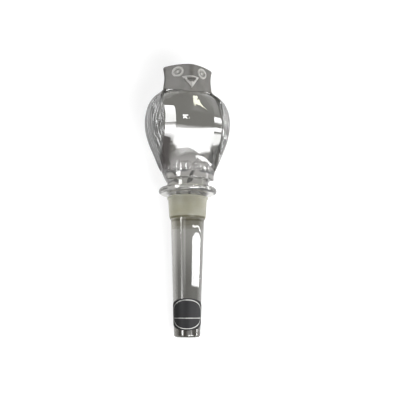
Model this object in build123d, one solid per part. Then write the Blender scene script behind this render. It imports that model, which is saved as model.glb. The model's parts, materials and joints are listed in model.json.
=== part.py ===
from build123d import *
import os
from math import asin, atan2, cos, degrees, pi, radians, sin, sqrt, tan

# Sizes are in millimetres. The stopper is drawn standing up, with its face to -Y and z = 0 at the
# underside of the flange, and is laid down on its back at the end.

# Plug, the long solid taper below the flange
plug_length = 69.9
plug_top_radius = 8.75
plug_end_radius = 6.35
plug_end_round = 1.3
plug_root_chamfer = 1.6

# Flange and the waist above it
flange_radius = 14.5
flange_height = 3.0
flange_round = 1.45
waist_radius = 10.3
waist_height = 2.6
waist_chamfer = 0.6
waist_overlap = 2.0

# Owl body, from the waist to the shoulders
body_height = 48.8
body_half_width = 21.1
body_half_depth = 17.6
breast_half_width = 10.0
back_panel_half_width = 6.0

# Folded wings, raised from the body, with long shallow flutes
wing_rise = 1.0
wing_end_rise = 0.35
wing_fullness = 0.35
wing_inset = 0.2
wing_top_fade = 8.0
wing_tip_fade = 13.0
wing_tip_height = 6.2
wing_tip_reach = 13.0
wing_bend_height = 15.1
wing_bend_reach = 9.4
wing_split_height = 27.0
flute_depth = 0.5
flute_angles = (36, 64, 92, 120)
flute_focus = 88
flute_pinch = 0.4

# Tail feathers, grooves cut down the lower back
tail_groove_radius = 1.7
tail_groove_depth = 0.45
tail_groove_run_out = 0.2
tail_groove_count = 9
tail_spread = 150

# Pedestal under the front of the body
pedestal_radius = 13.2
pedestal_height = 3.8
pedestal_lift = 0.8
pedestal_spread = 66
pedestal_round = 0.5

# Feet, a low web with three toes each
foot_angle = 37
foot_half_width = 8.2
foot_rise = 5.0
toe_angles = (12, 37, 62)
toe_rises = (4.9, 5.7, 4.6)
toe_half_width = 2.9
toe_reach = 3.4
toe_overhang = 0.5
toe_lip = 0.6

# Head
head_height = 16.5
nose_depth = 8.9
ear_depth = 0.4
nape_depth = 9.8
nose_round = 3.2
ear_round = 1.8
crown_height = 14.0
crown_radius = 50.0
crown_setback = 7.5
crown_round = 1.1

# Eyes and beak
eye_half_width = 3.2
eye_half_height = 2.6
eye_ring_width = 0.85
eye_ring_rise = 0.4
eye_ring_root = 0.6
eye_dish_depth = 0.5
eye_reach = 6.3
eye_height = 8.2
pupil_half_width = 1.2
pupil_half_height = 0.9
pupil_rise = 0.45
beak_half_width = 3.3
beak_top_height = 4.6
beak_length = 5.7
beak_rise = 1.9
beak_edge_rise = 0.6
beak_root = 0.15
brow_rise = 0.7
brow_sides = 8
brow_drop = 1.5

# Plastic sealing sleeve round the top of the plug
sleeve_drop = 1.7
sleeve_length = 10.8
sleeve_top_wall = 1.0
sleeve_bottom_wall = 0.75
sleeve_lip_wall = 1.45
sleeve_lip_height = 0.8
sleeve_chamfer = 0.4
sleeve_chamfer_height = 1.6
sleeve_clearance = 0.03

# Oval label near the end of the plug, turned from the owl's front
label_length = 15.0
label_width = 24.8
label_thickness = 0.1
label_clearance = 0.02
label_height = 59.0
label_turn = 14
label_steps = 24
label_margin = 1.0

mesh_tolerance = 0.05

# Levels that follow from the sizes above
body_base = flange_height + waist_height
pedestal_base = body_base + pedestal_lift
shoulder = body_base + body_height
crown = shoulder + crown_height

# Form of the body at each level, as shares: of the body's height, then of its half width (side),
# of its half depth (flank, breast, back), of the breast's half width, and of the way from the
# breast's edge to the side (the wings' front edge)
BODY_FORM = (
    (0.000, 0.482, 0.575, 0.575, 0.575, 0.68, 0.64),
    (0.135, 0.640, 0.600, 0.580, 0.700, 0.92, 0.59),
    (0.260, 0.762, 0.680, 0.615, 0.785, 1.10, 0.58),
    (0.380, 0.884, 0.835, 0.735, 0.890, 1.00, 0.54),
    (0.500, 0.970, 1.000, 0.890, 0.970, 0.96, 0.47),
    (0.620, 1.000, 1.035, 0.935, 1.000, 0.96, 0.44),
    (0.730, 0.975, 0.870, 0.830, 0.970, 1.00, 0.46),
    (0.830, 0.903, 0.640, 0.690, 0.880, 1.06, 0.49),
    (0.920, 0.770, 0.370, 0.535, 0.730, 1.18, 0.45),
    (1.000, 0.585, 0.060, 0.300, 0.520, 1.05, 0.37),
)

# Form of the head at each level, as shares: of the head's height, then of the body's half width
# (ears), of the nose depth and of the nape depth
HEAD_FORM = (
    (-0.36, 0.640, 0.97, 0.98),
    (0.00, 0.630, 1.02, 0.98),
    (0.20, 0.610, 1.00, 0.97),
    (0.42, 0.600, 0.99, 0.98),
    (0.62, 0.622, 0.98, 1.00),
    (0.80, 0.660, 0.97, 1.03),
    (1.00, 0.710, 0.96, 1.06),
)

# Form of the beak at each level, as shares: of its length down from the brow, then of its half width
# and of how far its keel and its edges stand out
BEAK_FORM = (
    (0.08, 0.70, 0.02),
    (0.30, 1.00, 0.75),
    (0.62, 0.64, 1.00),
    (1.00, 0.08, 0.60),
)


def plug_radius(z):
    """Radius of the plug's taper at height z, which is negative below the flange."""
    return plug_top_radius + (plug_top_radius - plug_end_radius) * z / plug_length


def ellipse_point(side, front, back, angle):
    """Point at an angle from the front, on an outline with its own depth to the front and back."""
    depth = front if angle < 90 else back
    return side * sin(radians(angle)), -depth * cos(radians(angle))


def mirrored(points):
    """Points of the left side, in the order that carries on from the right side's."""
    return [(-x, y) for x, y in reversed(points)]


def wing_edge_x(form):
    """How far out the wings' front edge lies at one level."""
    _, side, _, _, _, breast_edge, wing_edge = form
    edge_x = breast_edge * breast_half_width
    return edge_x + wing_edge * (side * body_half_width - edge_x)


def back_panel_angle():
    """Angle from the front at which the narrow flat panel down the middle of the back begins."""
    return 180 - degrees(asin(back_panel_half_width / body_half_width))


def body_outline(form):
    """Outline of the body at one level: breast, a bevel at each side, round flanks, flat back."""
    level, side, flank, breast, back, breast_edge, _ = form
    side, breast, back = side * body_half_width, breast * body_half_depth, back * body_half_depth
    flank = flank * body_half_depth
    edge_x = breast_edge * breast_half_width
    edge = (edge_x, -flank * sqrt(1 - (edge_x / side) ** 2))
    angles = [degrees(asin(wing_edge_x(form) / side)), 90, 125, 148, back_panel_angle()]
    turns = [ellipse_point(side, flank, back, angle) for angle in angles]
    wing, panel = turns[0], turns[-1]
    wire = Wire([
        Spline(*mirrored([edge]), (0, -breast), edge),
        Line(edge, wing),
        Spline(*turns),
        Line(panel, *mirrored([panel])),
        Spline(*mirrored(turns)),
        Line(*mirrored([edge, wing])),
    ])
    return Pos(0, 0, body_base + level * body_height) * Face(wire)


def wing_outline(form):
    """Outline of the wings' outer surface at one level, with flutes between crisp ridges."""
    level, side, flank, _, back, _, _ = form
    flank += wing_fullness * (back - flank)
    faded = min(1, (1 - level) * body_height / wing_top_fade, level * body_height / wing_tip_fade)
    rise = wing_end_rise + (wing_rise - wing_end_rise) * faded
    side, flank, back = (
        side * body_half_width + rise, flank * body_half_depth + rise, back * body_half_depth + rise
    )
    spread = flute_pinch + (1 - flute_pinch) * sin(pi * level)
    ridges = [flute_focus + (angle - flute_focus) * spread for angle in flute_angles]
    dip = 1 - flute_depth / side
    right = []
    for low, high in zip(ridges, ridges[1:]):
        x, y = ellipse_point(side, flank, back, (low + high) / 2)
        start, end = ellipse_point(side, flank, back, low), ellipse_point(side, flank, back, high)
        right.append([start, (x * dip, y * dip), end])
    first, last = right[0][0], right[-1][-1]
    panel_angle = back_panel_angle()
    panel = ellipse_point(side, flank, back, panel_angle)
    turn = ellipse_point(side, flank, back, (ridges[-1] + panel_angle) / 2)
    right.append([last, turn, panel])
    edges = [Spline(*points) for points in right]
    edges.append(Line(panel, *mirrored([panel])))
    edges += [Spline(*mirrored(points)) for points in reversed(right)]
    edges.append(Line(*mirrored([first]), first))
    return Pos(0, 0, body_base + level * body_height) * Face(Wire(edges))


def wing_region():
    """Upright prisms over the wings' front and back outlines, on the right and left."""
    reach = 2 * body_half_width
    front_line = [
        (wing_edge_x(form) + wing_inset, body_base + form[0] * body_height) for form in BODY_FORM[2:]
    ]
    tip = (wing_tip_reach, body_base + wing_tip_height)
    split = (0, body_base + wing_split_height)
    bend = (wing_bend_reach, body_base + wing_bend_height)
    top = shoulder + wing_rise
    front = make_face([
        Spline(tip, *front_line),
        Polyline(front_line[-1], (front_line[-1][0], top), (reach, top), (reach, tip[1]), tip),
    ])
    back = make_face([
        Spline(tip, bend, split),
        Polyline(split, (0, top), (reach, top), (reach, tip[1]), tip),
    ])
    upright = Plane.XZ
    front = extrude(upright * front, reach)
    back = extrude(upright * back, -reach)
    right = front + back
    return right + mirror(right, Plane.YZ)


def wings():
    """Both wings: their fluted outer surface inside the wings' outline."""
    return loft([wing_outline(form) for form in BODY_FORM]) & wing_region()


def body():
    """Body without wings, lofted through its levels."""
    return loft([body_outline(form) for form in BODY_FORM])


def tail_grooves():
    """Round-bottomed grooves down the lower back, spread like feathers, which run out upward."""
    ends_of_groove = ((BODY_FORM[0], tail_groove_depth), (BODY_FORM[3], 0))
    grooves = []
    for index in range(tail_groove_count):
        share = index / (tail_groove_count - 1) - 0.5
        angle = 180 + share * tail_spread
        ends = []
        for (level, side, _, _, back, _, _), depth in ends_of_groove:
            x, y = ellipse_point(side * body_half_width, 0, back * body_half_depth, angle)
            out = 1 + (tail_groove_radius - depth) / sqrt(x * x + y * y)
            ends.append(Vector(x * out, y * out, body_base + level * body_height))
        path = ends[1] - ends[0]
        start = Plane(origin=ends[0] - path * tail_groove_run_out, z_dir=path)
        run = path.length * (1 + 2 * tail_groove_run_out)
        grooves.append(extrude(start * Circle(tail_groove_radius), run))
    return grooves


def head_outline(form):
    """Outline of the head at one level: two flat faces that meet at the nose, and a round nape."""
    level, ears, nose, nape = form
    ear_x, nose_y, nape_y = ears * body_half_width, nose * nose_depth, nape * nape_depth
    ear = (ear_x, ear_depth)
    outline = make_face([
        Polyline((-ear_x, ear_depth), (0, -nose_y), ear),
        ThreePointArc(ear, (0, nape_y), (-ear_x, ear_depth)),
    ])
    corners = outline.vertices().sort_by(Axis.Y)
    outline = fillet(corners[0], nose_round)
    ears_left = outline.vertices().sort_by(Axis.X)
    outline = fillet([ears_left[0], ears_left[-1]], ear_round)
    return Pos(0, 0, shoulder + level * head_height) * outline


def head():
    """Head with two face planes, ears at its upper corners and a shallow domed crown."""
    block = loft([head_outline(form) for form in HEAD_FORM])
    dome = Pos(0, crown_setback, crown - crown_radius) * Rot(0, 90, 0) * Sphere(crown_radius)
    block = block & dome
    top = block.faces().sort_by(Axis.Z)[-1]
    return fillet(top.edges(), crown_round)


def face_slope():
    """Angle by which each face plane is turned from straight ahead."""
    return atan2(nose_depth + ear_depth, HEAD_FORM[3][1] * body_half_width)


def face_plane(side):
    """Plane on the owl's face where the eye sits, with its normal out of the face."""
    slope = face_slope()
    eye_y = eye_reach * tan(slope) - nose_depth * HEAD_FORM[3][2]
    across = (cos(slope), side * sin(slope), 0)
    outward = (side * sin(slope), -cos(slope), 0)
    return Plane(origin=(side * eye_reach, eye_y, shoulder + eye_height), x_dir=across, z_dir=outward)


def eye_ring(side):
    """Raised oval ring round an eye, let into the face."""
    outer = Ellipse(eye_half_width, eye_half_height)
    depth = eye_ring_rise + eye_ring_root
    return face_plane(side) * Pos(0, 0, -eye_ring_root) * extrude(outer, depth)


def eye_dish(side):
    """Oval hollow inside the ring."""
    opening = Ellipse(eye_half_width - eye_ring_width, eye_half_height - eye_ring_width)
    depth = eye_ring_rise + eye_dish_depth
    return face_plane(side) * Pos(0, 0, -eye_dish_depth) * extrude(opening, depth)


def pupil(side):
    """Oval pupil that stands on the floor of the hollow."""
    oval = Ellipse(pupil_half_width, pupil_half_height)
    return face_plane(side) * Pos(0, 0, -eye_dish_depth) * extrude(oval, pupil_rise)


def beak():
    """Keeled beak that comes to a point over the chin, under an arched brow."""
    top = shoulder + beak_top_height
    front = -nose_depth + nose_round * (1 / cos(face_slope()) - 1)
    sections = []
    for drop, width, rise in BEAK_FORM:
        half, keel = width * beak_half_width, front - rise * beak_rise
        root = half * tan(face_slope()) - nose_depth + beak_root
        edge = root - rise * beak_edge_rise
        sections.append(Pos(0, 0, top - drop * beak_length) * make_face(Polyline(
            (-half, root), (-half, edge), (0, keel), (half, edge), (half, root), (0, root + beak_rise),
            close=True,
        )))
    side_y = beak_half_width * tan(face_slope()) - nose_depth
    side_z = top - brow_drop
    arch = ThreePointArc(
        (-beak_half_width, side_y, side_z), (0, front, top), (beak_half_width, side_y, side_z)
    )
    start = Plane(origin=arch @ 0, z_dir=arch % 0)
    brow = sweep(start * RegularPolygon(brow_rise, brow_sides), arch)
    return loft(sections, ruled=True) + brow


def pedestal():
    """Part-round plinth under the front of the body."""
    disc = extrude(Circle(pedestal_radius), pedestal_height)
    disc = fillet(disc.edges().filter_by(GeomType.CIRCLE), pedestal_round)
    reach = 2 * pedestal_radius
    half = radians(pedestal_spread)
    sector = make_face(Polyline(
        (0, 0), (reach * sin(half), -reach * cos(half)), (reach, -2 * reach),
        (-reach, -2 * reach), (-reach * sin(half), -reach * cos(half)), close=True,
    ))
    return Pos(0, 0, pedestal_base) * (disc & extrude(sector, pedestal_height))


def rounded_bump(half_width, reach, rise, angle, overhang):
    """Half an egg on the pedestal's edge, at an angle from the front."""
    top = pedestal_base + pedestal_height
    egg = scale(Sphere(1), by=(half_width, reach, rise))
    egg = Rot(0, 0, angle) * Pos(0, reach - pedestal_radius - overhang, top) * egg
    return split(egg, Plane.XY.offset(top - toe_lip), Keep.TOP)


def feet():
    """Two webbed feet of three rounded toes each."""
    bumps = []
    for side in (1, -1):
        bumps.append(rounded_bump(foot_half_width, toe_reach, foot_rise, side * foot_angle, 0))
        for angle, rise in zip(toe_angles, toe_rises):
            bumps.append(rounded_bump(toe_half_width, toe_reach, rise, side * angle, toe_overhang))
    return bumps


def turned_profile():
    """Half section of everything turned: waist, flange and plug."""
    waist_top = body_base + waist_overlap
    outline = make_face(Polyline(
        (0, -plug_length), (plug_end_radius, -plug_length), (plug_top_radius, 0), (flange_radius, 0),
        (flange_radius, flange_height), (waist_radius, flange_height), (waist_radius, waist_top),
        (0, waist_top), close=True,
    ))
    rounds = (
        (plug_end_radius, -plug_length, plug_end_round), (flange_radius, 0, flange_round),
        (flange_radius, flange_height, flange_round),
    )
    for x, z, radius in rounds:
        corner = outline.vertices().sort_by_distance((x, z))[0]
        outline = fillet(corner, radius)
    chamfers = ((plug_top_radius, 0, plug_root_chamfer), (waist_radius, flange_height, waist_chamfer))
    for x, z, size in chamfers:
        corner = outline.vertices().sort_by_distance((x, z))[0]
        outline = chamfer(corner, size)
    return outline


def turned_glass():
    """Waist, flange and plug, turned about the stopper's axis."""
    return revolve(Plane.XZ * turned_profile(), Axis.Z)


def owl():
    """Owl with its wings, tail, feet and face, upright."""
    figure = body() + wings() + head()
    for groove in tail_grooves():
        figure -= groove
    figure += pedestal()
    for bump in feet():
        figure += bump
    figure += beak()
    for side in (1, -1):
        figure = figure + eye_ring(side) - eye_dish(side) + pupil(side)
    return figure


def taper_band(low, high, inner_wall, low_wall, high_wall):
    """Half section of a band round the plug, from its clearance to a wall at each end."""
    inner_low, inner_high = plug_radius(low) + inner_wall, plug_radius(high) + inner_wall
    return make_face(Polyline(
        (inner_low, low), (inner_low + low_wall, low), (inner_high + high_wall, high),
        (inner_high, high), close=True,
    ))


def sealing_sleeve():
    """Tapered plastic sleeve on the plug, with a lip under the flange."""
    top, bottom = -sleeve_drop, -sleeve_drop - sleeve_length
    profile = taper_band(bottom, top, sleeve_clearance, sleeve_bottom_wall, sleeve_top_wall)
    lip = taper_band(top - sleeve_lip_height, top, sleeve_clearance, sleeve_lip_wall, sleeve_lip_wall)
    rim = profile.vertices().sort_by_distance((plug_radius(bottom) + sleeve_bottom_wall, bottom))[0]
    profile = chamfer(rim, sleeve_chamfer, sleeve_chamfer_height)
    return revolve(Plane.XZ * (profile + lip), Axis.Z)


def label_outline(radial):
    """Oval outline wrapped round the plug, at a distance out from the plug's surface."""
    points = []
    for step in range(label_steps):
        turn = 2 * pi * step / label_steps
        z = label_length / 2 * sin(turn) - label_height
        radius = plug_radius(z)
        angle = label_width / 2 * cos(turn) / radius
        points.append(((radius + radial) * sin(angle), -(radius + radial) * cos(angle), z))
    return Spline(*points, periodic=True)


def label():
    """Thin oval label, cut from a band by a wall that stands on its wrapped outline."""
    reach = label_length / 2 + label_margin
    low, high = -label_height - reach, -label_height + reach
    profile = taper_band(low, high, label_clearance, label_thickness, label_thickness)
    band = Rot(0, 0, 90) * revolve(Plane.XZ * profile, Axis.Z)
    wall = Face.make_surface_from_curves(label_outline(-label_margin), label_outline(label_margin))
    pieces = band.solid().split(wall, Keep.ALL)
    oval = pieces.sort_by(lambda piece: piece.bounding_box().size.Z)[0]
    return Rot(0, 0, -label_turn) * oval


def lying_tilt(figure):
    """Tilt in degrees at which the owl's back and the plug's end touch the ground together."""
    centre_y, centre_z = plug_end_radius - plug_end_round, plug_end_round - plug_length
    tilts = []
    for vertex in figure.tessellate(mesh_tolerance)[0]:
        reach = sqrt((vertex.Y - centre_y) ** 2 + (vertex.Z - centre_z) ** 2)
        tilts.append(atan2(vertex.Y - centre_y, vertex.Z - centre_z) - asin(plug_end_round / reach))
    return degrees(max(tilts))


def main():
    os.makedirs("parts", exist_ok=True)
    figure = owl()
    laid = Rot(lying_tilt(figure) - 90, 0, 0)
    nodes = {
        "glass_stopper": laid * (turned_glass() + figure),
        "sealing_sleeve": laid * sealing_sleeve(),
        "label": laid * label(),
    }
    box = nodes["glass_stopper"].bounding_box(optimal=True)
    seat = Pos(-(box.min.X + box.max.X) / 2, -(box.min.Y + box.max.Y) / 2, -box.min.Z)
    for name, node in nodes.items():
        export_step(seat * node, f"parts/{name}.step")


if __name__ == "__main__":
    main()
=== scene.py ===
"""Looks of a glass decanter stopper with an owl-shaped head, lying on its back on a pale floor."""

import json
from math import cos, pi, radians, sin

import bmesh
import bpy
from bpy.props import FloatProperty, FloatVectorProperty, PointerProperty
from bpy.types import Operator, Panel, PropertyGroup
from mathutils import Matrix, Vector

bl_info = {
    "name": "Owl Decanter Stopper",
    "version": (1, 0, 0),
    "blender": (4, 5, 0),
    "location": "View3D > Sidebar > Stopper",
    "description": "Dresses a solid glass stopper with an owl-shaped head",
    "category": "Object",
}

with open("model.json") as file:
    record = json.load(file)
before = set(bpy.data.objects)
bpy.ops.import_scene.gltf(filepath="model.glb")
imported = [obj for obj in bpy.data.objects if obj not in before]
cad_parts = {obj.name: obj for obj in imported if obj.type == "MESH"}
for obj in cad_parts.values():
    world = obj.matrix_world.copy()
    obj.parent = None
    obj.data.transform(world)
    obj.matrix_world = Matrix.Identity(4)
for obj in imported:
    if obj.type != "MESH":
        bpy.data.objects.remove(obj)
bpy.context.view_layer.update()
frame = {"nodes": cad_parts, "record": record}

MM = 0.001

# The stopper's own axes where it lies, and the middle of the flange's underside in metres
RIM_SEAT = next(mount for mount in frame["record"]["mounts"] if mount["name"] == "rim_seat")
SIDE = Vector((1, 0, 0))
AXIS = -Vector(RIM_SEAT["axis"]).normalized()
FRONT = SIDE.cross(AXIS)
SEAT_POINT = Vector(RIM_SEAT["pos_m"])
SEAT = SEAT_POINT - SIDE * SEAT_POINT.x

# Places on the upright stopper, in millimetres: x across, y behind the axis, z up from the flange.
# A pair holds the place where a change begins and the one where it is complete. The wings come
# first: their front edge, and the height over which their streaks fade in at the top.
WING_EDGE = (14.2, 15.7)
WING_TOP_FADE = 4

# The groove on top of the pedestal, and the painted shadow line under the feet
PEDESTAL_TOP = 10.3
GROOVE_WIDTH = 0.8
GROOVE_FRONT = (0.0, -2.0)
FOOT_SHADOW = 9.6
FOOT_SHADOW_WIDTH = 1.3
FOOT_SHADOW_REACH = (1.5, 4.5)
FOOT_SHADOW_FRONT = (-2.0, -4.0)

# Where painted light and shade change the glass's tint: paler feet, a painted dark reflection at
# the foot of the left bevel, paler and darker zones from the waist down, and a painted highlight
# along both sides of the plug
FEET_LIGHT_TOP = (27.0, 17.0)
FEET_LIGHT_REACH = (12.0, 8.0)
GLOOM_TOP = (31.0, 25.0)
GLOOM_INNER = (-9.5, -12.0)
GLOOM_OUTER = (-15.4, -14.4)
PAINTED_SHADING_ZONES = (
    ("painted_waist_light", 11.0, 8.0),
    ("rim_tint", 4.2, 3.4),
    ("painted_sleeve_reflection", -12.4, -12.6),
    ("painted_shank_light", -16.5, -16.9),
    ("painted_low_shade", -19.0, -44.0),
    ("painted_end_shade", -54.0, -68.0),
)
EDGE_HIGHLIGHT_TOP = (-10.0, -14.0)
EDGE_HIGHLIGHT_FACING = (0.22, 0.50)

# The eyes: the right one's middle, its turn out of the front, and its shape. The eyes are cut into
# the glass; the pale ring, disc and core painted in them stand for glints and are measured in
# shares of the eye's size.
EYE_PLACE = (6.3, -4.18, 62.6)
EYE_TURN = radians(36.3)
EYE_HALF_WIDTH = 3.2
EYE_HALF_HEIGHT = 2.6
EYE_RING = 0.84
EYE_RING_WIDTH = 0.40
EYE_DISC = (0.62, 0.54)
EYE_DISC_SHARE = 0.45
EYE_HIGHLIGHT = (0.30, 0.20)

# The beak, cut into the glass and painted pale for its glints: a triangle on its point, with a
# hollow in it
BEAK_POINT = 53.0
BEAK_FLARE = 0.66
BEAK_SIDES = (-0.1, 0.15)
BEAK_TOP = (59.9, 59.7)
BEAK_FRONT = (-4.0, -5.0)
HOLLOW_SIDES = (0.9, 1.3)
HOLLOW_FOOT = (55.8, 56.4)
HOLLOW_TOP = (59.0, 58.6)

# Softness of the frosting's border and of the sleeve's dark rim
CHIN_SOFTNESS = 0.15
RIM_ABOVE = 0.3
RIM_BELOW = 0.1

# Noise: its detail, and the part of its range that makes a cloud or a streak
CLOUD_DETAIL = 3.0
CLOUD_RANGE = (0.35, 0.65)
STREAK_DETAIL = 2.0
# Painted shade and painted light: the dark and light streaks in the wings
PAINTED_STREAK_SPANS = (
    ("painted_shade_colour", 0.49, 0.40),
    ("painted_light_streaks", 0.51, 0.59),
)

# Shares of a band's width at which its soft edges end
BAND_OUTSIDE = 0.65
BAND_INSIDE = 0.35

# The stage: half the floor's size in metres; the camera's place off the flange, and its film's
# width, in millimetres; its nearest sight in metres; how far to the right the room is bright
FLOOR_HALF = 1.5
CAMERA_ACROSS = 6.2
CAMERA_DOWN = 2.75
FILM_WIDTH = 36
CLIP_START = 0.01
BRIGHT_SIDE = (-0.3, 0.7)

WHITE = (1.0, 1.0, 1.0)
PALE_YELLOW = (1.0, 1.0, 0.80)

# Lamps: name, both ends of the middle line in metres, width in metres, radiance, colour, and the
# share of each side over which the light falls off. None is seen through the glass. The cards show
# in gloss alone, and don't light what is dull.
WINDOW = ("breast_window", (-0.08, -0.622, 0.50), (0.39, -0.25, 0.50), 0.38, 18.0, WHITE, 0.18)
CARDS = (
    ("left_strip", (-0.61, -0.018, 0.50), (-0.74, 2.15, 0.22), 0.26, 16.0, WHITE, 0.015),
    ("left_foot", (-0.655, -0.13, 0.50), (-0.85, -0.64, 0.50), 0.20, 10.0, WHITE, 0.06),
    ("left_far", (-2.52, 0.10, 2.0), (-4.05, -2.95, 2.0), 1.4, 11.0, WHITE, 0.30),
    ("front_haze", (-0.33, -0.14, 0.50), (-0.33, 0.02, 0.50), 0.24, 2.0, WHITE, 0.30),
    ("shank_bar", (0.563, -0.011, -0.016), (0.193, -0.086, 0.542), 0.066, 18.0, WHITE, 0.04),
    ("bar_line", (0.31, -0.0232, 0.367), (0.193, -0.0372, 0.542), 0.0030, 16.0, WHITE, 0.02),
    ("bar_line_end", (0.54, 0.024, 0.02), (0.31, -0.0232, 0.367), 0.0030, 16.0, WHITE, 0.02),
    ("small_pane", (0.0885, 0.105, 0.50), (0.0865, 0.38, 0.50), 0.022, 18.0, WHITE, 0.06),
    ("shoulder_pane", (0.25, 1.17, 0.53), (0.50, 1.25, 0.38), 0.12, 15.0, PALE_YELLOW, 0.12),
    ("breast_haze", (0.12, 0.85, 0.50), (0.36, 0.85, 0.50), 0.35, 0.9, WHITE, 0.45),
    ("low_haze", (-0.26, -0.27, 0.50), (0.46, -0.27, 0.50), 0.29, 7.0, WHITE, 0.36),
    ("right_strip", (0.60, 0.09, 0.14), (0.60, 0.46, 0.14), 0.20, 16.0, WHITE, 0.30),
    ("right_foot", (0.60, -0.34, 0.10), (0.60, -0.10, 0.10), 0.18, 12.0, WHITE, 0.12),
)


class GlassSettings(PropertyGroup):
    """Looks of the glass"""
    tint: FloatVectorProperty(
        name="Tint", description="Colour of light that has passed through the body",
        subtype="COLOR", size=3, min=0, max=1, default=(0.175, 0.172, 0.155))
    # Painted light: the feet are made paler than the body.
    painted_feet_light: FloatVectorProperty(
        name="Foot tint", description="Colour of light that has passed through the feet",
        subtype="COLOR", size=3, min=0, max=1, default=(0.42, 0.41, 0.40))
    # Painted reflection: a dark patch low in the left bevel.
    painted_dark_reflection: FloatVectorProperty(
        name="Gloom tint", description="The same at the foot of the left bevel",
        subtype="COLOR", size=3, min=0, max=1, default=(0.045, 0.038, 0.038))
    # Painted light: the waist is made paler.
    painted_waist_light: FloatVectorProperty(
        name="Thin tint", description="The same at the waist",
        subtype="COLOR", size=3, min=0, max=1, default=(0.33, 0.325, 0.30))
    # Painted light: the flange and the glass inside the sleeve are made paler.
    rim_tint: FloatVectorProperty(
        name="Rim tint", description="The same at the flange and in the sleeve",
        subtype="COLOR", size=3, min=0, max=1, default=(0.56, 0.555, 0.525))
    # Painted reflection: the band just below the sleeve takes the sleeve's darker colour.
    painted_sleeve_reflection: FloatVectorProperty(
        name="Shade tint", description="The same just below the sleeve, whose colour it takes",
        subtype="COLOR", size=3, min=0, max=1, default=(0.16, 0.152, 0.118))
    # Painted light: the top of the bare plug is made paler.
    painted_shank_light: FloatVectorProperty(
        name="Shank tint", description="The same at the top of the bare plug",
        subtype="COLOR", size=3, min=0, max=1, default=(0.265, 0.26, 0.24))
    # Painted shade: the plug is made darker lower down.
    painted_low_shade: FloatVectorProperty(
        name="Low tint", description="The same lower on the plug",
        subtype="COLOR", size=3, min=0, max=1, default=(0.135, 0.132, 0.12))
    # Painted shade: the end of the plug is made darkest.
    painted_end_shade: FloatVectorProperty(
        name="End tint", description="The same at the end of the plug",
        subtype="COLOR", size=3, min=0, max=1, default=(0.05, 0.046, 0.036))
    # Painted highlight along both sides of the plug.
    painted_edge_highlight: FloatVectorProperty(
        name="Edge tint", description="The same along both sides of the plug",
        subtype="COLOR", size=3, min=0, max=1, default=(0.60, 0.595, 0.58))
    # Painted shade: the wings' dark streaks and the shadow line under the feet.
    painted_shade_colour: FloatVectorProperty(
        name="Dark streaks", description="The same in the wings' dark streaks and under the feet",
        subtype="COLOR", size=3, min=0, max=1, default=(0.09, 0.092, 0.092))
    # Painted highlights: the wings' light streaks.
    painted_light_streaks: FloatVectorProperty(
        name="Light streaks", description="The same in the light streaks of the wings",
        subtype="COLOR", size=3, min=0, max=1, default=(0.88, 0.88, 0.87))
    streak_density: FloatProperty(
        name="Streak density", description="Streaks round the wings, per radian", default=14.0)
    streak_stretch: FloatProperty(
        name="Streak stretch", description="Change of the streaks along the wings, per millimetre",
        default=0.05)
    streak_depth: FloatProperty(
        name="Streak depth", description="Depth of the streaks, in millimetres", default=0.9)
    # Painted light: the streaks are made lighter towards the right.
    painted_light_lean: FloatProperty(
        name="Streak lean", description="How much lighter they are to the right, per millimetre",
        default=0.0115)
    ior: FloatProperty(
        name="Index", description="Refractive index of lead glass", default=1.55, min=1, max=2)
    frost_tint: FloatVectorProperty(
        name="Frost tint", description="Colour of the satin frosted head",
        subtype="COLOR", size=3, min=0, max=1, default=(0.072, 0.067, 0.057))
    frost_cloud_tint: FloatVectorProperty(
        name="Frost cloud tint", description="Colour of its lighter patches",
        subtype="COLOR", size=3, min=0, max=1, default=(0.112, 0.106, 0.093))
    frost_clouds: FloatProperty(
        name="Frost clouds", description="Patches in the frosting, per metre", default=130.0)
    frost_roughness: FloatProperty(
        name="Frost roughness", description="Roughness of the frosted head",
        subtype="FACTOR", default=0.6, min=0, max=1)
    frost_clearness: FloatProperty(
        name="Frost clearness", description="Share of light that the frosting lets in",
        subtype="FACTOR", default=0.55, min=0, max=1)
    frost_gloss: FloatProperty(
        name="Frost gloss", description="Strength of the frosting's gloss",
        subtype="FACTOR", default=0.3, min=0, max=1)
    # The cut eyes and beak, painted pale as painted highlights.
    polish_and_glint_tint: FloatVectorProperty(
        name="Cut tint", description="Colour of the eyes and the beak",
        subtype="COLOR", size=3, min=0, max=1, default=(0.62, 0.61, 0.58))
    chin_level: FloatProperty(
        name="Chin level",
        description="Height of the frosting's border at the axis, in millimetres", default=54.5)
    chin_slope: FloatProperty(
        name="Chin slope", description="Fall of that border towards the face", default=0.37)


class SleeveSettings(PropertyGroup):
    """Looks of the sealing sleeve"""
    tint: FloatVectorProperty(
        name="Tint", description="Colour of the plastic",
        subtype="COLOR", size=3, min=0, max=1, default=(0.76, 0.755, 0.67))
    cloud_tint: FloatVectorProperty(
        name="Cloud tint", description="Colour of its cloudy patches",
        subtype="COLOR", size=3, min=0, max=1, default=(0.68, 0.665, 0.55))
    cloud_scale: FloatProperty(
        name="Clouds", description="Cloudy patches, per metre", default=240.0)
    rim_tint: FloatVectorProperty(
        name="Rim tint", description="Colour of its lower rim",
        subtype="COLOR", size=3, min=0, max=1, default=(0.22, 0.20, 0.12))
    rim_height: FloatProperty(
        name="Rim height", description="Place of the lower rim on the plug, in millimetres",
        default=-11.7)
    roughness: FloatProperty(
        name="Roughness", description="Roughness of the plastic",
        subtype="FACTOR", default=0.34, min=0, max=1)
    clearness: FloatProperty(
        name="Clearness", description="Share of light that the plastic lets in",
        subtype="FACTOR", default=0.93, min=0, max=1)
    ior: FloatProperty(
        name="Index", description="Refractive index of the plastic against what it clings to",
        default=1.24, min=1, max=2)


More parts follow.
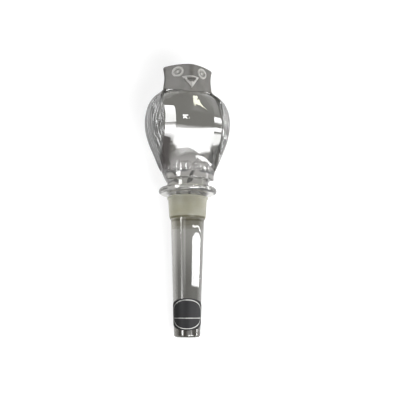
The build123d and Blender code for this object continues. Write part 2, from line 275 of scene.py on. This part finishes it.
class LabelSettings(PropertyGroup):
    """Looks of the label"""
    ground: FloatVectorProperty(
        name="Ground", description="Colour of the label's field",
        subtype="COLOR", size=3, min=0, max=1, default=(0.007, 0.007, 0.008))
    print_tint: FloatVectorProperty(
        name="Print", description="Colour of the label's ring and rule",
        subtype="COLOR", size=3, min=0, max=1, default=(0.50, 0.50, 0.48))
    roughness: FloatProperty(
        name="Roughness", description="Roughness of the printed foil",
        subtype="FACTOR", default=0.5, min=0, max=1)
    gloss: FloatProperty(
        name="Gloss", description="Strength of the foil's gloss",
        subtype="FACTOR", default=0.12, min=0, max=1)
    height: FloatProperty(
        name="Height", description="Distance of its middle below the flange, in millimetres",
        default=59.0)
    turn: FloatProperty(
        name="Turn", description="Turn from the owl's front", subtype="ANGLE",
        default=radians(14))
    plug_radius: FloatProperty(
        name="Plug radius", description="Radius of the plug at the label, in millimetres",
        default=6.73)
    ring_width: FloatProperty(
        name="Ring width", description="Width of the pale ring round the plug, in millimetres",
        default=17.6)
    ring_length: FloatProperty(
        name="Ring length", description="Length of the pale ring along the plug, in millimetres",
        default=13.5)
    rule_height: FloatProperty(
        name="Rule", description="Height of the rule above the label's middle, in millimetres",
        default=-1.8)
    line_width: FloatProperty(
        name="Line", description="Width of the printed lines, in millimetres", default=0.28)


class StageSettings(PropertyGroup):
    """Looks of the floor and the room, and the camera's place"""
    floor_tint: FloatVectorProperty(
        name="Floor", description="Colour of the floor",
        subtype="COLOR", size=3, min=0, max=1, default=(0.22, 0.22, 0.22))
    backdrop: FloatProperty(
        name="Backdrop", description="White that the floor shows besides the light it catches",
        subtype="FACTOR", default=0.86, min=0, max=1)
    world_tint: FloatVectorProperty(
        name="Room", description="Colour of the light from all round",
        subtype="COLOR", size=3, min=0, max=1, default=(0.22, 0.22, 0.22))
    dim_side_tint: FloatVectorProperty(
        name="Dim side", description="Colour that gloss and glass show of the room's dimmer side",
        subtype="COLOR", size=3, min=0, max=1, default=(0.45, 0.45, 0.46))
    bright_side_tint: FloatVectorProperty(
        name="Bright side", description="Colour that they show of the room's brighter side",
        subtype="COLOR", size=3, min=0, max=1, default=(1.0, 1.0, 1.0))
    camera_distance: FloatProperty(
        name="Camera distance", description="Distance to the flange, in millimetres", default=320)
    camera_turn: FloatProperty(
        name="Camera turn", description="Turn about the stopper's axis", subtype="ANGLE",
        default=radians(14))
    camera_rise: FloatProperty(
        name="Camera rise", description="Rise of the line of sight", subtype="ANGLE",
        default=radians(10))
    lens: FloatProperty(name="Lens", description="Focal length in millimetres", default=57.6)


class StopperSettings(PropertyGroup):
    """Looks of the whole stopper"""
    glass: PointerProperty(type=GlassSettings)
    sleeve: PointerProperty(type=SleeveSettings)
    label: PointerProperty(type=LabelSettings)
    stage: PointerProperty(type=StageSettings)


class Tree:
    """A node tree of a material, a lamp or the world, with short ways to add nodes to it."""

    def __init__(self, owner):
        owner.use_nodes = True
        self.nodes, self.links = owner.node_tree.nodes, owner.node_tree.links

    def add(self, kind, inputs=None, **properties):
        """Adds a node, sets its properties, and links or sets its inputs."""
        node = self.nodes.new(kind)
        for name, value in properties.items():
            setattr(node, name, value)
        for key, value in (inputs or {}).items():
            if isinstance(value, bpy.types.NodeSocket):
                self.links.new(value, node.inputs[key])
            else:
                node.inputs[key].default_value = value
        return node

    def maths(self, operation, *values):
        """Result of one operation on sockets or numbers."""
        node = self.add("ShaderNodeMath", dict(enumerate(values)), operation=operation)
        return node.outputs[0]

    def product(self, first, *others):
        """Product of sockets or numbers."""
        for other in others:
            first = self.maths("MULTIPLY", first, other)
        return first

    def ramp(self, value, start, end, shape="SMOOTHSTEP"):
        """0 before the start and 1 past the end, or the reverse where the start is higher."""
        inputs = {"Value": value, "From Min": start, "From Max": end}
        node = self.add("ShaderNodeMapRange", inputs, interpolation_type=shape)
        return node.outputs["Result"]

    def band(self, value, middle, width):
        """1 where a value lies within half a width of a middle, with soft edges."""
        off = self.maths("ABSOLUTE", self.maths("SUBTRACT", value, middle))
        return self.ramp(off, width * BAND_OUTSIDE, width * BAND_INSIDE, "LINEAR")

    def mix(self, share, first, second):
        """A colour between two, which are colours or sockets, by a share."""
        inputs = {"Factor": share}
        for name, colour in (("A", first), ("B", second)):
            inputs[name] = colour if isinstance(colour, bpy.types.NodeSocket) else (*colour, 1)
        return self.add("ShaderNodeMix", inputs, data_type="RGBA").outputs["Result"]

    def noise(self, where, scale, detail):
        """Noise from 0 to 1 at a place."""
        inputs = {"Vector": where, "Scale": scale, "Detail": detail}
        return self.add("ShaderNodeTexNoise", inputs).outputs["Fac"]


def new_material(name):
    """A material, its empty tree, and the surface socket of the tree's output."""
    material = bpy.data.materials.new(name)
    tree = Tree(material)
    tree.nodes.clear()
    return material, tree, tree.add("ShaderNodeOutputMaterial").inputs["Surface"]


def upright_axes(tree):
    """Sockets of the stopper's own upright x, y and z in millimetres, by Object coordinates."""
    where = tree.add("ShaderNodeTexCoord").outputs["Object"]
    sockets = []
    for axis in (SIDE, -FRONT, AXIS):
        dot = tree.add("ShaderNodeVectorMath", {0: where, 1: axis / MM}, operation="DOT_PRODUCT")
        sockets.append(tree.maths("SUBTRACT", dot.outputs["Value"], SEAT.dot(axis) / MM))
    return sockets


def ellipse_reach(tree, across, along, half_width, half_height):
    """Distance from an ellipse's middle, which is 1 on its outline."""
    squares = []
    for distance, half in ((across, half_width), (along, half_height)):
        share = tree.maths("DIVIDE", distance, half)
        squares.append(tree.product(share, share))
    return tree.maths("SQRT", tree.maths("ADD", *squares))


def clouds(tree, scale):
    """Soft patches from 0 to 1, so many to the metre."""
    where = tree.add("ShaderNodeTexCoord").outputs["Object"]
    return tree.ramp(tree.noise(where, scale, CLOUD_DETAIL), *CLOUD_RANGE)


def streak_noise(tree, x, y, z, settings):
    """Noise from 0 to 1 that is drawn out along the stopper."""
    around = tree.product(tree.maths("ARCTAN2", x, y), settings.streak_density)
    along = tree.product(z, settings.streak_stretch)
    where = tree.add("ShaderNodeCombineXYZ", {"X": around, "Y": along})
    return tree.noise(where.outputs[0], 1.0, STREAK_DETAIL)


def wing_share(tree, x, z, settings):
    """1 on the wings, and 0 on the rest."""
    level = settings.chin_level
    on_wing = tree.ramp(tree.maths("ABSOLUTE", x), *WING_EDGE)
    return tree.product(on_wing, tree.ramp(z, level, level - WING_TOP_FADE))


def glass_relief(tree, y, z, streaks, on_wing, settings):
    """Normal of the clear glass: streaks along the wings, and a groove on top of the pedestal."""
    groove = tree.product(tree.band(z, PEDESTAL_TOP, GROOVE_WIDTH), tree.ramp(y, *GROOVE_FRONT))
    height = tree.maths("SUBTRACT", tree.product(streaks, on_wing), groove)
    bump = tree.add("ShaderNodeBump", {
        "Height": height, "Strength": 1.0, "Distance": settings.streak_depth * MM})
    return bump.outputs["Normal"]


def glass_colour_with_painted_light(tree, x, y, z, streaks, on_wing, settings):
    """Tint of the clear glass, with painted light and shade down the stopper and painted light and
    dark streaks in the wings.
    """
    out = tree.maths("ABSOLUTE", x)
    # Painted light: the feet are made paler than the body.
    feet = tree.product(tree.ramp(z, *FEET_LIGHT_TOP), tree.ramp(out, *FEET_LIGHT_REACH))
    colour = tree.mix(feet, settings.tint, settings.painted_feet_light)
    # Painted reflection: a dark patch low in the left bevel.
    gloom = tree.product(
        tree.ramp(z, *GLOOM_TOP), tree.ramp(x, *GLOOM_INNER), tree.ramp(x, *GLOOM_OUTER))
    colour = tree.mix(gloom, colour, settings.painted_dark_reflection)
    # Painted light and shade: paler and darker zones down the stopper.
    for name, start, end in PAINTED_SHADING_ZONES:
        colour = tree.mix(tree.ramp(z, start, end), colour, getattr(settings, name))
    # Painted shadow: a dark line under the feet.
    line = tree.product(
        tree.band(z, FOOT_SHADOW, FOOT_SHADOW_WIDTH), tree.ramp(out, *FOOT_SHADOW_REACH),
        tree.ramp(y, *FOOT_SHADOW_FRONT))
    colour = tree.mix(line, colour, settings.painted_shade_colour)
    # Painted light and shade: light and dark streaks in the wings, lighter towards the right.
    leaning = tree.maths("ADD", streaks, tree.product(x, settings.painted_light_lean))
    for name, start, end in PAINTED_STREAK_SPANS:
        share = tree.product(tree.ramp(leaning, start, end), on_wing)
        colour = tree.mix(share, colour, getattr(settings, name))
    # Painted highlight along both sides of the plug.
    facing = tree.add("ShaderNodeLayerWeight").outputs["Facing"]
    edge = tree.product(tree.ramp(facing, *EDGE_HIGHLIGHT_FACING), tree.ramp(z, *EDGE_HIGHLIGHT_TOP))
    return tree.mix(edge, colour, settings.painted_edge_highlight)


def eye_glint_mask(tree, out, y, z):
    """How pale the cut eyes are painted for their glints, from 0 to 1: a ring, a dimmer disc in it,
    and a bright core as a painted highlight.
    """
    across = tree.product(tree.maths("SUBTRACT", out, EYE_PLACE[0]), cos(EYE_TURN))
    behind = tree.product(tree.maths("SUBTRACT", y, EYE_PLACE[1]), sin(EYE_TURN))
    rise = tree.maths("SUBTRACT", z, EYE_PLACE[2])
    across = tree.maths("ADD", across, behind)
    reach = ellipse_reach(tree, across, rise, EYE_HALF_WIDTH, EYE_HALF_HEIGHT)
    ring = tree.band(reach, EYE_RING, EYE_RING_WIDTH)
    disc = tree.product(tree.ramp(reach, *EYE_DISC), EYE_DISC_SHARE)
    core = tree.ramp(reach, *EYE_HIGHLIGHT)
    return tree.maths("MAXIMUM", tree.maths("MAXIMUM", ring, disc), core)


def beak_glint_mask(tree, out, y, z):
    """How pale the cut beak is painted for its glints, from 0 to 1."""
    slant = tree.product(tree.maths("SUBTRACT", z, BEAK_POINT), BEAK_FLARE)
    inside = tree.maths("SUBTRACT", slant, out)
    beak = tree.product(
        tree.ramp(inside, *BEAK_SIDES), tree.ramp(z, *BEAK_TOP), tree.ramp(y, *BEAK_FRONT))
    hollow = tree.product(
        tree.ramp(inside, *HOLLOW_SIDES), tree.ramp(z, *HOLLOW_FOOT), tree.ramp(z, *HOLLOW_TOP))
    return tree.maths("SUBTRACT", beak, hollow)


def glass_material(settings):
    """Clear lead glass, satin frosted above the chin."""
    material, tree, surface = new_material("lead_glass")
    x, y, z = upright_axes(tree)
    streaks = streak_noise(tree, x, y, z, settings)
    on_wing = wing_share(tree, x, z, settings)
    clear = tree.add("ShaderNodeBsdfPrincipled", {
        "Base Color": glass_colour_with_painted_light(tree, x, y, z, streaks, on_wing, settings),
        "Normal": glass_relief(tree, y, z, streaks, on_wing, settings),
        "Roughness": 0.0, "IOR": settings.ior, "Transmission Weight": 1.0})
    frosting = tree.mix(
        clouds(tree, settings.frost_clouds), settings.frost_tint, settings.frost_cloud_tint)
    out = tree.maths("ABSOLUTE", x)
    # The cut eyes and beak are painted pale as painted highlights.
    cut = tree.maths("MAXIMUM", eye_glint_mask(tree, out, y, z), beak_glint_mask(tree, out, y, z))
    frost = tree.add("ShaderNodeBsdfPrincipled", {
        "Base Color": tree.mix(cut, frosting, settings.polish_and_glint_tint),
        "Roughness": settings.frost_roughness, "IOR": settings.ior,
        "Transmission Weight": settings.frost_clearness,
        "Specular IOR Level": settings.frost_gloss})
    border = tree.maths("ADD", tree.product(y, settings.chin_slope), settings.chin_level)
    above = tree.maths("SUBTRACT", z, border)
    frosted = tree.ramp(above, -CHIN_SOFTNESS, CHIN_SOFTNESS, "LINEAR")
    both = tree.add("ShaderNodeMixShader", {
        "Fac": frosted, 1: clear.outputs[0], 2: frost.outputs[0]})
    tree.links.new(both.outputs[0], surface)
    return material


def sleeve_material(settings):
    """Translucent plastic, yellowed with age in soft clouds, and darker at its lower rim."""
    material, tree, surface = new_material("yellowed_plastic")
    z = upright_axes(tree)[2]
    colour = tree.mix(clouds(tree, settings.cloud_scale), settings.tint, settings.cloud_tint)
    rim = tree.ramp(z, settings.rim_height + RIM_ABOVE, settings.rim_height - RIM_BELOW)
    plastic = tree.add("ShaderNodeBsdfPrincipled", {
        "Base Color": tree.mix(rim, colour, settings.rim_tint),
        "Roughness": settings.roughness, "IOR": settings.ior,
        "Transmission Weight": settings.clearness})
    tree.links.new(plastic.outputs[0], surface)
    return material


def label_material(settings):
    """Dark printed foil, with a pale ring near its edge and a pale rule across."""
    material, tree, surface = new_material("label_foil")
    x, y, z = upright_axes(tree)
    angle = tree.maths("ARCTAN2", x, tree.product(y, -1.0))
    across = tree.product(tree.maths("ADD", angle, settings.turn), settings.plug_radius)
    along = tree.maths("ADD", z, settings.height)
    reach = ellipse_reach(tree, across, along, settings.ring_width / 2, settings.ring_length / 2)
    ring = tree.band(reach, 1.0, settings.line_width * 2 / settings.ring_length)
    rule = tree.band(along, settings.rule_height, settings.line_width)
    rule = tree.product(rule, tree.maths("LESS_THAN", reach, 1.0))
    printed = tree.maths("MAXIMUM", ring, rule)
    foil = tree.add("ShaderNodeBsdfPrincipled", {
        "Base Color": tree.mix(printed, settings.ground, settings.print_tint),
        "Roughness": settings.roughness, "Specular IOR Level": settings.gloss})
    tree.links.new(foil.outputs[0], surface)
    return material


def dress(node, material):
    """Gives a CAD node one material."""
    piece = frame["nodes"][node]
    piece.data.materials.clear()
    piece.data.materials.append(material)


def seen_rays(tree):
    """1 for what the camera sees, straight or by way of gloss and glass."""
    rays = tree.add("ShaderNodeLightPath").outputs
    seen = tree.maths("MAXIMUM", rays["Is Camera Ray"], rays["Is Glossy Ray"])
    return tree.maths("MAXIMUM", seen, rays["Is Transmission Ray"])


def link_object(name, data, where, axes):
    """Adds an object at a place, turned so that its own axes lie along three given ones."""
    thing = bpy.data.objects.new(name, data)
    thing.matrix_world = Matrix.Translation(where) @ Matrix(axes).transposed().to_4x4()
    bpy.context.scene.collection.objects.link(thing)
    return thing


def soften_edges(lamp, fade):
    """Lets a lamp's light fall off over a share of each side, as a diffuser's does."""
    tree = Tree(lamp)
    where = tree.add("ShaderNodeNewGeometry").outputs["Parametric"]
    parts = tree.add("ShaderNodeSeparateXYZ", {0: where}).outputs
    shares = []
    for axis in ("X", "Y"):
        off = tree.maths("ABSOLUTE", tree.maths("SUBTRACT", parts[axis], 0.5))
        shares.append(tree.ramp(off, 0.5, 0.5 - fade))
    tree.links.new(tree.product(*shares), tree.nodes["Emission"].inputs["Strength"])


def add_lamp(name, start, end, width, radiance, tint, fade):
    """Adds a rectangular lamp along a line, facing the flange; gives its object."""
    start, end = Vector(start), Vector(end)
    middle, along = (start + end) / 2, (end - start).normalized()
    facing = middle - SEAT
    facing = (facing - along * facing.dot(along)).normalized()
    lamp = bpy.data.lights.new(name, "AREA")
    lamp.shape = "RECTANGLE"
    lamp.size, lamp.size_y = (end - start).length, width
    lamp.energy = radiance * pi * lamp.size * lamp.size_y
    lamp.color = tint
    soften_edges(lamp, fade)
    holder = link_object(name, lamp, middle, (along, facing.cross(along), facing))
    holder.visible_transmission = False
    return holder


def add_floor(settings):
    """Adds the pale floor, which glows white to the camera so that only its shadow shows."""
    mesh = bpy.data.meshes.new("floor")
    shape = bmesh.new()
    bmesh.ops.create_grid(shape, x_segments=1, y_segments=1, size=FLOOR_HALF)
    shape.to_mesh(mesh)
    shape.free()
    floor = bpy.data.objects.new("floor", mesh)
    bpy.context.scene.collection.objects.link(floor)
    material, tree, surface = new_material("pale_floor")
    plain = tree.add("ShaderNodeBsdfDiffuse", {"Color": (*settings.floor_tint, 1)})
    strength = tree.product(seen_rays(tree), settings.backdrop)
    glow = tree.add("ShaderNodeEmission", {"Strength": strength})
    both = tree.add("ShaderNodeAddShader", {0: plain.outputs[0], 1: glow.outputs[0]})
    tree.links.new(both.outputs[0], surface)
    mesh.materials.append(material)


def add_world(settings):
    """Adds soft light from all round; gloss and glass see one side of the room brighter."""
    world = bpy.data.worlds.new("room")
    tree = Tree(world)
    straight = tree.add("ShaderNodeLightPath").outputs["Is Camera Ray"]
    where = tree.add("ShaderNodeTexCoord").outputs["Generated"]
    side = tree.add("ShaderNodeVectorMath", {0: where, 1: SIDE}, operation="DOT_PRODUCT")
    bright = tree.ramp(side.outputs["Value"], *BRIGHT_SIDE)
    seen = tree.mix(bright, settings.dim_side_tint, settings.bright_side_tint)
    colour = tree.mix(seen_rays(tree), settings.world_tint, seen)
    colour = tree.mix(straight, colour, WHITE)
    background = tree.nodes["Background"]
    background.inputs["Strength"].default_value = 1.0
    tree.links.new(colour, background.inputs["Color"])
    bpy.context.scene.world = world


def add_camera(settings):
    """Adds the camera, which looks down on the lying stopper."""
    turn, rise = settings.camera_turn, settings.camera_rise
    right = SIDE * cos(turn) + FRONT * sin(turn)
    ahead = (SIDE * sin(turn) - FRONT * cos(turn)) * cos(rise) + AXIS * sin(rise)
    away = right * CAMERA_ACROSS - ahead * settings.camera_distance - AXIS * CAMERA_DOWN
    camera = bpy.data.cameras.new("camera")
    camera.lens = settings.lens
    camera.sensor_width = FILM_WIDTH
    camera.clip_start = CLIP_START
    axes = (right, right.cross(ahead), -ahead)
    bpy.context.scene.camera = link_object("camera", camera, SEAT + away * MM, axes)


class STOPPER_OT_glass(Operator):
    """Dress the solid glass piece"""
    bl_idname = "stopper.glass"
    bl_label = "Glass"

    def execute(self, context):
        dress("glass_stopper", glass_material(context.scene.stopper.glass))
        return {"FINISHED"}


class STOPPER_OT_sleeve(Operator):
    """Dress the sealing sleeve"""
    bl_idname = "stopper.sleeve"
    bl_label = "Sealing sleeve"

    def execute(self, context):
        dress("sealing_sleeve", sleeve_material(context.scene.stopper.sleeve))
        return {"FINISHED"}


class STOPPER_OT_label(Operator):
    """Dress the label"""
    bl_idname = "stopper.label"
    bl_label = "Label"

    def execute(self, context):
        dress("label", label_material(context.scene.stopper.label))
        return {"FINISHED"}


class STOPPER_OT_stage(Operator):
    """Set the floor, the lamps and the camera"""
    bl_idname = "stopper.stage"
    bl_label = "Stage"

    def execute(self, context):
        settings = context.scene.stopper.stage
        add_floor(settings)
        add_world(settings)
        add_camera(settings)
        add_lamp(*WINDOW)
        for card in CARDS:
            add_lamp(*card).visible_diffuse = False
        context.scene.view_settings.view_transform = "Standard"
        return {"FINISHED"}


class STOPPER_PT_panel(Panel):
    """Sidebar list of the stopper's pieces"""
    bl_idname = "STOPPER_PT_panel"
    bl_label = "Stopper"
    bl_space_type = "VIEW_3D"
    bl_region_type = "UI"
    bl_category = "Stopper"

    def draw(self, context):
        for step in STEPS:
            self.layout.operator(step.bl_idname)


STEPS = (STOPPER_OT_glass, STOPPER_OT_sleeve, STOPPER_OT_label, STOPPER_OT_stage)
CLASSES = (GlassSettings, SleeveSettings, LabelSettings, StageSettings, StopperSettings,
           *STEPS, STOPPER_PT_panel)


def register():
    for cls in CLASSES:
        bpy.utils.register_class(cls)
    bpy.types.Scene.stopper = PointerProperty(type=StopperSettings)


def unregister():
    del bpy.types.Scene.stopper
    for cls in reversed(CLASSES):
        bpy.utils.unregister_class(cls)


def main():
    register()
    bpy.ops.stopper.glass()
    bpy.ops.stopper.sleeve()
    bpy.ops.stopper.label()
    bpy.ops.stopper.stage()


if __name__ == "__main__":
    main()
